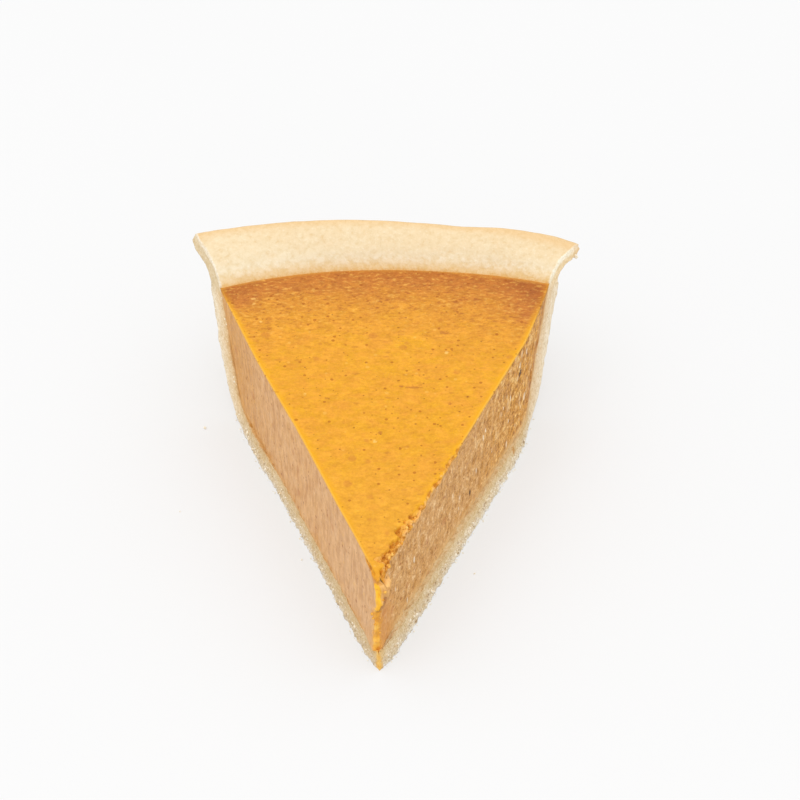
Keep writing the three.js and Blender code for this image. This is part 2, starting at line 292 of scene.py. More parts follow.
def srgb(red, green, blue):
    """A colour given as it reads on screen, 0 to 255, as linear RGBA."""
    def linear(value):
        share = value / 255
        return share / 12.92 if share <= 0.04045 else ((share + 0.055) / 1.055) ** 2.4
    return (linear(red), linear(green), linear(blue), 1.0)


class Value:
    """A number or colour in a node tree. Sums and products of numbers make Math nodes."""

    def __init__(self, graph, socket):
        self.graph, self.socket = graph, socket

    def __add__(self, other):
        return self.graph.math("ADD", self, other)

    def __sub__(self, other):
        return self.graph.math("SUBTRACT", self, other)

    def __rsub__(self, other):
        return self.graph.math("SUBTRACT", other, self)

    def __mul__(self, other):
        return self.graph.math("MULTIPLY", self, other)


class Graph:
    """A material's node tree, with a short method for each kind of node used here."""

    def __init__(self, name, warmth=(1.0, 1.0, 1.0)):
        """Warmth is how strongly each channel follows a tone: more blue makes the dark warmer."""
        self.warmth = warmth
        self.material = bpy.data.materials.new(name)
        self.material.use_nodes = True
        self.tree = self.material.node_tree
        self.shader = self.tree.nodes["Principled BSDF"]
        metres = self.value(self.node("ShaderNodeTexCoord"), "Object")
        self.mm = self.vector_math("SCALE", metres, 1 / MM)

    def node(self, kind, **settings):
        made = self.tree.nodes.new(kind)
        for key, setting in settings.items():
            setattr(made, key, setting)
        return made

    def value(self, node, output=0):
        return Value(self, node.outputs[output])

    def plug(self, socket, value):
        if isinstance(value, Value):
            self.tree.links.new(value.socket, socket)
        else:
            socket.default_value = value

    def vector_math(self, operation, vector, other):
        made = self.node("ShaderNodeVectorMath", operation=operation)
        self.plug(made.inputs[0], vector)
        self.plug(made.inputs["Scale"] if operation == "SCALE" else made.inputs[1], other)
        return self.value(made)

    def math(self, operation, a, b=0.0):
        made = self.node("ShaderNodeMath", operation=operation)
        self.plug(made.inputs[0], a)
        self.plug(made.inputs[1], b)
        return self.value(made)

    def attribute(self, name):
        return self.value(self.node("ShaderNodeAttribute", attribute_name=name), "Fac")

    def attributes(self, *names):
        return [self.attribute(name) for name in names]

    def step(self, value, low, high, to_low=0.0, to_high=1.0):
        """A smooth step of value from low to high."""
        made = self.node("ShaderNodeMapRange", interpolation_type="SMOOTHSTEP")
        for key, number in (("Value", value), ("From Min", low), ("From Max", high),
                            ("To Min", to_low), ("To Max", to_high)):
            self.plug(made.inputs[key], number)
        return self.value(made)

    def fade(self, value, low, high, most=1.0):
        """The same downwards: most where value is below low, and 0 above high."""
        return self.step(value, low, high, most, 0.0)

    def place(self, stretch):
        """Millimetre coordinates, stretched along each axis."""
        return self.vector_math("MULTIPLY", self.mm, stretch)

    def noise(self, size, detail=2.0, roughness=0.5, place=None, distortion=0.0):
        """Noise from about 0 to 1 with features of a size in millimetres."""
        made = self.node("ShaderNodeTexNoise")
        self.plug(made.inputs["Vector"], place or self.mm)
        for key, number in (("Scale", 1 / size), ("Detail", detail), ("Roughness", roughness),
                            ("Distortion", distortion)):
            made.inputs[key].default_value = number
        return self.value(made, "Fac")

    def spots(self, spacing, radius, share, place=None):
        """Round spots in some cells of a Voronoi pattern: 1 inside a spot, 0 outside."""
        made = self.node("ShaderNodeTexVoronoi")
        self.plug(made.inputs["Vector"], place or self.mm)
        made.inputs["Scale"].default_value = 1 / spacing
        chosen = self.node("ShaderNodeSeparateColor")
        self.plug(chosen.inputs[0], self.value(made, "Color"))
        size = self.value(chosen, "Green") * (0.8 * radius / spacing) + 0.4 * radius / spacing
        inside = size - self.value(made, "Distance")
        soft = self.step(inside, -0.2 * radius / spacing, 0.3 * radius / spacing)
        return soft * self.math("LESS_THAN", self.value(chosen, "Red"), share)

    def tone(self, colour, *swings):
        """The colour made darker and lighter by up to half of each amount, following its texture."""
        for texture, amount in swings:
            swing = self.step(texture, 0.32, 0.68, -0.5, 0.5) * amount
            channels = self.vector_math("SCALE", self.warmth, swing)
            channels = self.vector_math("ADD", channels, (1.0, 1.0, 1.0))
            colour = self.vector_math("MULTIPLY", colour, channels)
        return colour

    def mark(self, place, radius, wide=1.0, tall=1.0):
        """One spot at a place of the frame (mm), stretched along X and Z."""
        away = self.vector_math("SUBTRACT", self.mm, place)
        away = self.vector_math("MULTIPLY", away, (1.0 / wide, 1.0, 1.0 / tall))
        made = self.node("ShaderNodeVectorMath", operation="LENGTH")
        self.plug(made.inputs[0], away)
        ragged = self.noise(0.5, 2) * (1.2 * radius) - 0.6 * radius
        return self.fade(self.value(made, "Value") + ragged, 0.5 * radius, radius)

    def mix(self, share, a, b):
        """From a to b. Three numbers are a colour as it reads on screen, four are linear."""
        made = self.node("ShaderNodeMix", data_type="RGBA")
        self.plug(made.inputs["Factor"], share)
        for key, colour in (("A", a), ("B", b)):
            on_screen = isinstance(colour, tuple) and len(colour) == 3
            self.plug(made.inputs[key], srgb(*colour) if on_screen else colour)
        return self.value(made, "Result")

    def tint(self, share, colour, over):
        """Colour laid over another where share is 1."""
        return self.mix(share, over, colour)

    def ramp(self, value, *stops):
        """A colour that runs smoothly through the stops, each a value and its colour."""
        colour = stops[0][1]
        for (low, _), (high, reached) in zip(stops, stops[1:]):
            colour = self.mix(self.step(value, low, high), colour, reached)
        return colour

    def bump(self, height, distance_mm):
        made = self.node("ShaderNodeBump")
        made.inputs["Distance"].default_value = distance_mm * MM
        made.inputs["Strength"].default_value = 1.0
        self.plug(made.inputs["Height"], height)
        return self.value(made)

    def finish(self, colour, roughness, normal, specular):
        self.plug(self.shader.inputs["Base Color"], colour)
        self.plug(self.shader.inputs["Roughness"], roughness)
        self.plug(self.shader.inputs["Normal"], normal)
        self.shader.inputs["Specular IOR Level"].default_value = specular
        return self.material


# ---- Crust ----

EDGE_CLUSTER = 0.7
CRUST_STEPS = {"across": 64, "through": 20}
FLAKE_DEPTH = 0.10
CRUMBLE_DEPTH = 0.28
LEDGE_CRUMBLE = 0.5
TIP_TAPER = 0.45
# Unevenness of the crust's faces, and the length of its wall round the slice.
CRUST_SWELL, CRUST_GRAIN = 0.2, 0.06
WALL_ARC = 82


def rim_splay(across, inner_radius):
    """How far the rim is drawn out and up there."""
    on_rim = smooth(inner_radius, WALL_TOP_RADIUS + 1, SWING_LIP)
    left = 1 - smooth(across, -0.1, 0.5)
    right = smooth(across, 0.8, 1)
    wave = RIM_WAVE * noise(across * 4.3, 7.7, 1.9)
    lift = RIM_LIFT_LEFT * (1 - smooth(across, 0.2, 0.55))
    droop_left = RIM_DROOP_LEFT * left ** 2
    droop_right = RIM_DROOP_RIGHT * np.clip((across - 0.8) / 0.2, 0, 1) ** 1.6
    out = on_rim * (RIM_REACH_LEFT * left + RIM_REACH_RIGHT * right + wave)
    return out, on_rim * (wave + lift - droop_left - droop_right)


def crust_cut_relief(radius, height, through, on_wall, seed):
    """How far the pastry's cut face stands out: thin flakes, and crumbling near its outside."""
    flakes = rough(radius * 0.55 + height * 0.35, through * 6.5, seed, 3)
    crumbs = rough(radius * 1.5, height * 1.3 + through * 1.5, seed + 20, 3)
    low = (1 - through) ** 1.5
    crumble = CRUMBLE_DEPTH * lerp(1.0, 0.45, on_wall)
    return FLAKE_DEPTH * flakes + crumble * (0.35 + 0.65 * low) * (crumbs - 0.1)


def make_crust(material):
    points, directions, thickness, tuck = SECTION
    corners, quads = box_lattice(CRUST_STEPS["across"], len(points) - 1, CRUST_STEPS["through"])
    column, row, layer = corners.T
    across = spread(CRUST_STEPS["across"], EDGE_CLUSTER)[column]
    through = layer / CRUST_STEPS["through"]
    inner_radius, inner_height = points[row].T
    run, rise = directions[row].T
    depth = lerp(thickness[row], tuck[row], through)
    splay_out, splay_up = rim_splay(across, inner_radius)
    radius = inner_radius + rise * depth - through * wall_swell(across, inner_radius)
    height = inner_height - run * depth

    on_wall = smooth(radius, FOOT_END, FOOT_END + FOOT_FADE)
    foot = 1 - 0.5 * through
    left = lerp(FOOT_PROUD_LEFT, WALL_PROUD_LEFT, on_wall) * foot
    left = left + BULGE_LEFT * hump(inner_radius, BULGE_LEFT_RADIUS, BULGE_LEFT_HALF)
    left = left - HOLLOW_LEFT * hump(inner_radius, HOLLOW_LEFT_RADIUS, HOLLOW_LEFT_HALF)
    left = left + crust_cut_relief(radius, height, through, on_wall, 3.3)
    right = lerp(FOOT_PROUD_RIGHT, WALL_PROUD_RIGHT, on_wall) * foot
    right = right - hollow_right(inner_radius) - swing_in(inner_radius)
    right = right + crust_cut_relief(radius, height, through, on_wall, 12.7)

    nose = np.clip(1 - radius / FOOT_NOSE_REACH, 0, 1) ** 2
    left, right = left * (1 - TIP_TAPER * nose), right * (1 - TIP_TAPER * nose)
    radius = radius + splay_out - FOOT_NOSE * (1 - np.abs(2 * across - 1) ** 1.3) * nose
    height = height + splay_up

    # Gentle unevenness of the inner and outer faces, none where the base touches the table.
    seen_inside = through * smooth(inner_radius, WALL_TOP_RADIUS - 4, WALL_TOP_RADIUS + 6)
    outside = (1 - through) * smooth(height, 1.5, 6)
    arc = across * WALL_ARC
    swell = CRUST_SWELL * rough(arc * 0.12, height * 0.2, 5.0, 3)
    swell = swell + CRUST_GRAIN * rough(arc * 0.7, height * 0.9, 2.0, 2)
    out = (seen_inside + outside) * swell
    radius = radius + out * rise
    height = height - out * run

    # Crumbs pressed up against the filling on the narrow ledge that its foot leaves free.
    from_cut = np.minimum(across, 1 - across) * radius * (LEFT_ANGLE + RIGHT_ANGLE)
    on_ledge = smooth(through, 0.85, 1) * (1 - on_wall) * (1 - smooth(from_cut, 2, 3))
    standing = np.clip(rough(radius * 0.9, from_cut * 0.9, across * 9, 3) + 0.15, 0, 1)
    height = height + LEDGE_CRUMBLE * on_ledge * standing

    placed = place_in_wedge(across, radius, height, left, right)
    on_cut = (column == 0) | (column == CRUST_STEPS["across"])
    crumbly = on_cut & (radius < 88) & (through < 0.6) & (height > 0.7)
    on_wall_cut = on_cut & (inner_radius > 84) & (inner_radius < WALL_TOP_RADIUS)
    at_tip = (row == 0) & (height > 0.5)
    piece = mesh_piece("pastry", placed, quads, material, {
        "depth": depth,
        "above": inner_height - FILLING_RIM_HEIGHT,
        "from_lip": FROM_LIP[row],
        "radius": radius,
        "side": across,
        "from_cut": from_cut,
        "cut": on_cut.astype(float),
        "inside": (layer == CRUST_STEPS["through"]).astype(float),
    })
    return piece, placed[crumbly], placed[on_wall_cut], placed[at_tip]


# Soaked spots where the filling meets the pastry. Each mark is its place in the frame and radius
# (mm), and how wide and tall it is where that isn't 1.
SOAKED_MARKS = (
    ((-31.9, 18.2, 4.6), 0.9), ((-28.3, 10.3, 4.6), 1.0, 0.8, 1.4), ((-35.7, 28.4, 4.8), 0.7),
    ((-22.4, -3.6, 4.6), 0.6, 1, 1.4), ((29.7, 9.4, 3.5), 1.0, 0.8, 1.3),
)


def pastry_material():
    g = Graph("baked_pastry", (0.7, 1.0, 1.7))
    cream, golden = (227, 210, 177), (223, 194, 149)
    white, pale = (236, 226, 206), (230, 214, 182)
    toasted, orange = (214, 176, 120), (222, 168, 92)
    edge_tan = (176, 148, 112)
    crumb_light, crumb_shade = (242, 228, 202), (146, 112, 72)

    above, depth, radius, side = g.attributes("above", "depth", "radius", "side")
    cut, inside, from_cut = g.attributes("cut", "inside", "from_cut")
    on_right = g.step(side, 0.4, 0.6)
    cloud, patch = g.noise(10, 3), g.noise(3.2, 3, 0.6)
    grain, fine = g.noise(1.4, 3, 0.6), g.noise(0.5, 3, 0.6)
    drawn = g.noise(1.8, 3, 0.6, g.place((1.3, 0.45, 0.45)))

    # The baked faces: cream, more golden towards the lip and the right-hand end, with a soft
    # mottle, and whitish just above a thin golden line along the filling.
    out = g.step(above + cloud * 4.0 + side * 1.5, 3.5, 10.5)
    face = g.mix(out * 0.6, cream, golden)
    face = g.tint(g.step(patch, 0.5, 0.7) * 0.35, golden, face)
    face = g.tint(g.step(fine, 0.56, 0.76) * 0.35, white, face)
    face = g.tint(g.step(drawn, 0.52, 0.75) * 0.4, pale, face)
    face = g.tint(g.fade(grain, 0.26, 0.44) * g.step(above, 1.0, 5.0) * 0.3, toasted, face)
    face = g.tint(g.fade(above, 1.0, 4.5, 0.4) * g.step(grain, 0.35, 0.6), white, face)
    from_lip = g.attribute("from_lip") + grain * 1.2 - 0.6
    by_lip = from_lip + g.step(side, 0.65, 1.0, 0.0, -1.6)
    face = g.tint(g.fade(by_lip, 0.6, 3.6, 0.75), (222, 186, 134), face)
    face = g.tint(g.fade(from_lip, 0.1, 0.9, 0.6), (204, 184, 152), face)
    by_filling = above + grain * 1.2 + patch * 0.9 + fine
    face = g.tint(g.fade(by_filling, 1.5, 4.6, 0.68), (228, 186, 112), face)
    face = g.tint(g.fade(by_filling, 1.1, 2.2, 0.7), orange, face)
    face = g.tone(face, (grain, 0.08), (fine, 0.04))
    ledge = g.ramp(from_cut + grain * 1.2 - 0.6, (0.4, (216, 190, 146)), (1.8, (212, 174, 118)))
    ledge = g.mix(on_right, (206, 162, 104), ledge)
    ledge = g.tone(ledge, (grain, 0.14), (fine, 0.18))
    face = g.mix(g.step(above, -2.5, -0.5), ledge, face)
    back = g.mix(g.step(cloud, 0.35, 0.7), (222, 190, 140), (206, 164, 106))
    back = g.tint(g.step(grain, 0.5, 0.75) * 0.45, (188, 138, 80), back)
    back = g.tone(g.tint(g.step(fine, 0.52, 0.72) * 0.4, pale, back), (fine, 0.2))
    face = g.mix(inside, back, face)

    # The cut of the wall runs from tan by the filling to near white outside; that of the lip is
    # whitish inside and golden under its outer half.
    low = g.fade(above + grain * 2.0, -1.5, 2.5)
    ragged_depth = depth + grain * 1.6 + patch * 1.4 - 1.5
    wall = g.ramp(ragged_depth + g.step(side, 0.4, 0.6, 0.0, 0.5), (-0.2, (212, 168, 114)),
                  (1.0, (224, 192, 146)), (2.2, (230, 204, 166)), (5.4, (236, 219, 190)))
    lip = g.ramp(ragged_depth, (0.8, (250, 240, 216)), (2.4, (238, 212, 168)))
    lip_left = g.ramp(ragged_depth, (0.3, (238, 224, 200)), (1.3, (220, 198, 160)))
    lip = g.tint(g.fade(from_lip, 1.0, 4.5, 0.6), (230, 192, 140), lip)
    lip = g.mix(on_right, lip_left, lip)
    wall = g.tone(g.mix(low, lip, wall), (grain, 0.14), (fine, 0.2))
    wall = g.tint(g.fade(fine, 0.33, 0.42) * low * 0.4, (196, 160, 110), wall)

    # The cut of the base: smooth and soaked on top, with open and paler crumb under it.
    soft = g.step(ragged_depth + patch * 1.2, 1.6, 3.0)
    crumb = g.ramp(ragged_depth, (0.0, (214, 182, 134)), (1.2, (218, 193, 151)),
                   (2.9, (219, 199, 166)), (3.6, (226, 212, 186)), (4.4, (240, 235, 224)))
    crumb = g.tone(crumb, (patch, 0.12))
    # Brown flecks among the crumb's grains: painted shade between them.
    crumb = g.tint(g.fade(fine, 0.32, 0.46) * g.step(grain, 0.3, 0.6, 0.8, 0.2) * soft, crumb_shade,
                   crumb)
    crumb = g.tint(g.step(fine, 0.53, 0.65) * soft * 0.9, crumb_light, crumb)
    by_table = g.step(grain, 0.52, 0.66) * g.step(ragged_depth, 2.6, 3.8)
    crumb = g.tint(by_table * g.step(radius, 25.0, 60.0, 0.6, 0.35), edge_tan, crumb)
    # Darker on the left-hand cut: painted shade that offsets the brighter light from the lamp on that
    # side.
    crumb = g.tint(g.fade(side, 0.4, 0.6, 0.3), (200, 170, 128), crumb)
    crumb = g.tint(g.fade(radius, 20.0, 50.0, 0.25), (200, 176, 138), crumb)
    # Darker spots in the open crumb: painted shade in its holes.
    hole_shade = g.spots(1.3, 0.5, 0.3, g.place((1, 1, 1.4))) * g.step(ragged_depth, 1.0, 2.4)
    crumb = g.tint(hole_shade * g.step(side, 0.4, 0.6, 0.4, 0.75), (158, 122, 80), crumb)
    open_crumb = g.noise(0.42, 3, 0.7, g.place((1, 1, 1.5)))
    crumb = g.tone(crumb, (grain, 0.14), (open_crumb, 0.42))
    in_base = g.fade(radius + grain * 8.0, 85, 95)
    colour = g.mix(cut, face, g.mix(in_base, wall, crumb))

    # At the tip the base is soaked yellow.
    at_tip = g.fade(radius + grain * 1.6 + depth * 0.25, 0.9, 2.8)
    off_middle = g.math("ABSOLUTE", side - 0.45)
    at_tip = at_tip * g.step(off_middle + grain * 0.2 - 0.1, 0.25, 0.5, 1.0, 0.3)
    tip = g.mix(g.step(grain, 0.35, 0.65), (238, 182, 84), (246, 202, 112))
    colour = g.tint(at_tip * 0.9, tip, colour)

    for mark in SOAKED_MARKS:
        colour = g.tint(g.mark(*mark) * 0.75, (186, 126, 48), colour)

    height = grain * 0.5 + fine * 0.5
    return g.finish(colour, 0.85, g.bump(height, 0.25), 0.12)


# ---- Filling ----

FILLING_STEPS = {"across": 90, "along": 250, "up": 66}
LEFT_CUT_RELIEF, RIGHT_CUT_RELIEF = 0.08, 0.2
SKIN_SWELL, SKIN_RIPPLE, SKIN_LIP, CHIPS = 0.2, 0.06, 0.14, 0.45
NOSE_ROUNDING, NOSE_SMEAR, LUMP_UNDERCUT = 0.6, 0.45, 0.6


def torn_right(radius, from_right):
    """The torn strip along the right-hand top edge: its depth, its mask and the bits left in it."""
    wide_part = hump(radius, TORN_MIDDLE, TORN_HALF)
    ragged = np.clip(1 + 0.8 * rough(radius * 0.6, 3.1, 5.2, 3), 0.05, 2)
    width = (TORN_EDGE * smooth(radius, *TORN_FADE) + TORN_WIDTH * wide_part) * ragged
    width = width * smooth(radius, *TORN_START)
    inside = (1 - smooth(from_right, width - 0.35, width + 0.05)) * smooth(width, 0.05, 0.3)
    lumps = rough(radius * 0.9, from_right * 1.1, 1.7, 4)
    piece = smooth(rough(radius * 0.7, from_right * 0.8, 2.9, 3), 0.1, 0.4)
    depth = TORN_DEPTH * lerp(0.45, 1, wide_part) * (1 - 0.7 * piece) + 0.35 * lumps
    return inside * depth, inside, inside * piece


def torn_left(radius, from_left):
    """The same at the left-hand top edge, which is broken only close to the tip."""
    towards_tip = np.clip(1 - radius / TORN_LEFT_REACH, 0, 1)
    width = TORN_LEFT_WIDTH * towards_tip * (1 + 0.4 * noise(radius * 1.1, 8.8, 2.2))
    inside = (1 - smooth(from_left, 0.5 * width, width + 0.05)) * smooth(towards_tip, 0, 0.2)
    inside = inside * smooth(radius, 1.2, 2.2)
    return inside * TORN_LEFT_DEPTH, inside


def make_filling(material):
    steps = FILLING_STEPS
    corners, quads = box_lattice(steps["across"], steps["along"], steps["up"])
    column, row, layer = corners.T
    across = spread(steps["across"], EDGE_CLUSTER)[column]
    along = spread(steps["along"], 0.5)[row]
    up = spread(steps["up"], 0.4)[layer]

    bottom = BASE_THICKNESS - FILLING_SINK
    wall_radius = inner_radius_at(lerp(bottom, FILLING_RIM_HEIGHT, up))
    wall_radius = wall_radius + FILLING_SINK - wall_swell(across, wall_radius)
    radius = lerp(FILLING_NOSE_RADIUS, wall_radius, along)
    width = radius * (LEFT_ANGLE + RIGHT_ANGLE) + 2 * FILLING_NOSE_WIDTH
    from_left, from_right = across * width, (1 - across) * width
    from_edge = np.minimum(from_left, from_right)
    from_rim = wall_radius - radius

    worn = FILLING_TIP_WORN * (1 - smooth(radius, 0, FILLING_TIP_WORN_REACH))
    plain_top = lerp(FILLING_TIP_HEIGHT, FILLING_RIM_HEIGHT, radius / FILLING_RIM_RADIUS) - worn
    torn, torn_mask, bit_mask = torn_right(radius, from_right)
    torn_by_left, left_mask = torn_left(radius, from_left)
    angle = lerp(-LEFT_ANGLE, RIGHT_ANGLE, across)
    east, north = radius * np.sin(angle), radius * np.cos(angle)
    inland = smooth(from_rim, 0.0, 4.0)
    swell = SKIN_SWELL * rough(east * 0.07, north * 0.09, 2.4, 2)
    ripple = SKIN_RIPPLE * rough(east * 0.32, north * 0.5, 7.4, 3)
    ripple_share = 0.45 + 0.55 * smooth(radius, 55, 92)
    lip = SKIN_LIP * np.exp(-from_edge / 0.7) * (1 - torn_mask)
    relief = inland * (swell + ripple * ripple_share) + lip
    top = plain_top + up * up * (relief - np.maximum(torn, torn_by_left))
    height = lerp(bottom, top, up)

    middle = np.clip(6 * up * (1 - up), 0, 1)
    left = LEFT_CUT_RELIEF * middle * rough(radius * 0.35, height * 0.12, 8.5, 3)
    streaks = rough(radius * 0.95, height * 0.24, 4.5, 3)
    right = RIGHT_CUT_RELIEF * middle * (streaks - 0.2)
    nose = np.clip(1 - radius / FILLING_NOSE_REACH, 0, 1)
    nose_step = FILLING_NOSE_WIDTH * nose * (1 + 0.9 * rough(height * 0.4, across * 3.0, 6.3, 3))

    # The lump dragged down the nose, with a torn hollow under it, and the smear below.
    foot = LUMP_FOOT + 3.2 * smooth(across, 0.2, 1) + 0.5 * noise(radius * 0.9, across * 3, 1.1)
    upright = smooth(height, foot, foot + 0.7) * (1 - smooth(height, LUMP_TOP - 1.2, LUMP_TOP - 0.2))
    fading = 1 - smooth(radius, LUMP_REACH - 2, LUMP_REACH)
    lump = upright * fading * (1 + 0.3 * rough(height * 0.8, radius * 0.9, 6.6, 3))
    under = hump(height, foot - 1.2, 1.8) * (1 - smooth(radius, 3, 6))
    # Where the shadow under the lump is painted into the filling's colour.
    shadow_line = hump(height, foot - 0.8 - 2.3 * across, 1.1) * (1 - smooth(radius, 3.5, 5.5))
    shadow_line = shadow_line * smooth(across, 0.3, 0.8)
    front = np.clip(1 - (radius - FILLING_NOSE_RADIUS) / 2.2, 0, 1) ** 2
    rounding = NOSE_ROUNDING * front * (1 - (2 * across - 1) ** 2)
    smear = NOSE_SMEAR * front * rough(height * 0.36, across * 1.6, 9.9, 3)

    brow = BROW_LEFT * up ** 3 * hump(radius, BROW_RADIUS, BROW_HALF)
    left = left + nose_step + FILLING_SPREAD_LEFT * (1 - up) + brow
    chips = CHIPS * rough(radius * 0.8, 2.2, 7.7, 3) * smooth(up, 0.85, 1)
    chips = chips * smooth(radius, *TORN_FADE)
    right = right + nose_step + LUMP_RIGHT * lump - LUMP_UNDERCUT * under + chips
    right = right - (1 - up) * hollow_right(radius) - swing_in(radius)
    shown_radius = radius - LUMP_FRONT * lump - rounding - smear

    placed = place_in_wedge(across, shown_radius, height, left, right)
    corner = np.exp(-np.hypot(from_rim, from_edge) / 9)
    in_strip = (torn_mask > 0.5) & (layer == steps["up"]) & (radius > 3) & (radius < 22)
    on_nose = (row == 0) & (height > bottom + 1) & (height < top - 2)
    near_top = 1 - smooth(top - height, 0.3, 0.8)
    piece = mesh_piece("pumpkin_filling", placed, quads, material, {
        "drop": top - height,
        "edge": from_edge,
        "from_rim": from_rim,
        "corner": corner,
        "base": height - bottom,
        "side": across,
        "radius": radius,
        "torn": np.maximum(torn_mask, left_mask) * near_top,
        "torn_bit": bit_mask * near_top,
        "lump": lump,
        "lump_shadow": shadow_line,
        "nose": np.clip(1 - (radius - FILLING_NOSE_RADIUS) / 3, 0, 1),
    })
    return piece, placed[in_strip], placed[on_nose]


# Marks that stand out on the slice, written like the soaked ones.
BROWN_MARKS = (
    ((13.5, 20.7, 30.0), 1.0, 1.5), ((14.2, -4.0, 28.5), 0.7, 1.2), ((-12.7, -1.9, 28.6), 0.6, 1.3),
    ((-1.0, -13.3, 27.8), 0.7), ((-21.2, 36.9, 31.1), 1.2, 1.4), ((34.0, 23.8, 15.5), 1.1, 1, 1.6),
    ((6.3, 1.5, 28.4), 0.45, 5), ((3.6, 1.9, 28.4), 0.4, 2), ((34.6, 37.6, 30.2), 1.3, 1.6),
    ((17.1, 41.0, 30.9), 0.6, 1.2), ((-1.9, 30.1, 30.1), 0.55), ((-1.3, 32.5, 30.3), 0.4, 2),
)
PALE_MARKS = (
    ((-2.1, -15.8, 27.7), 0.7), ((13.9, 13.3, 29.5), 0.7), ((-17.6, -0.7, 28.8), 0.7),
    ((-28.7, 24.4, 30.4), 0.5), ((-31.1, 33.4, 30.9), 0.7, 1.5), ((-30.8, 31.3, 30.8), 0.6, 1.2),
)
# White marks: painted highlights, a small cluster on the top and streaks on the right-hand cut.
HIGHLIGHT_MARKS = (
    ((-30.9, 33.2, 30.9), 0.35, 1.5), ((32.4, 18.2, 26.0), 0.4, 1, 3), ((30.7, 14.2, 25.0), 0.35, 1, 3),
    ((28.6, 9.2, 19.4), 0.4, 1, 3), ((26.6, 5.4, 19.5), 0.3, 1, 3), ((22.3, -4.1, 20.8), 0.3, 1, 3),
    ((21.6, -5.4, 19.6), 0.35, 1, 3), ((23.8, -0.7, 12.2), 0.4, 1, 2),
)
# Dark marks on the right-hand cut: painted shade in small holes.
HOLE_SHADE_MARKS = (((30.8, 14.5, 22.4), 0.9, 1, 1.3), ((18.7, -12.0, 9.4), 0.6, 0.7, 2.2))


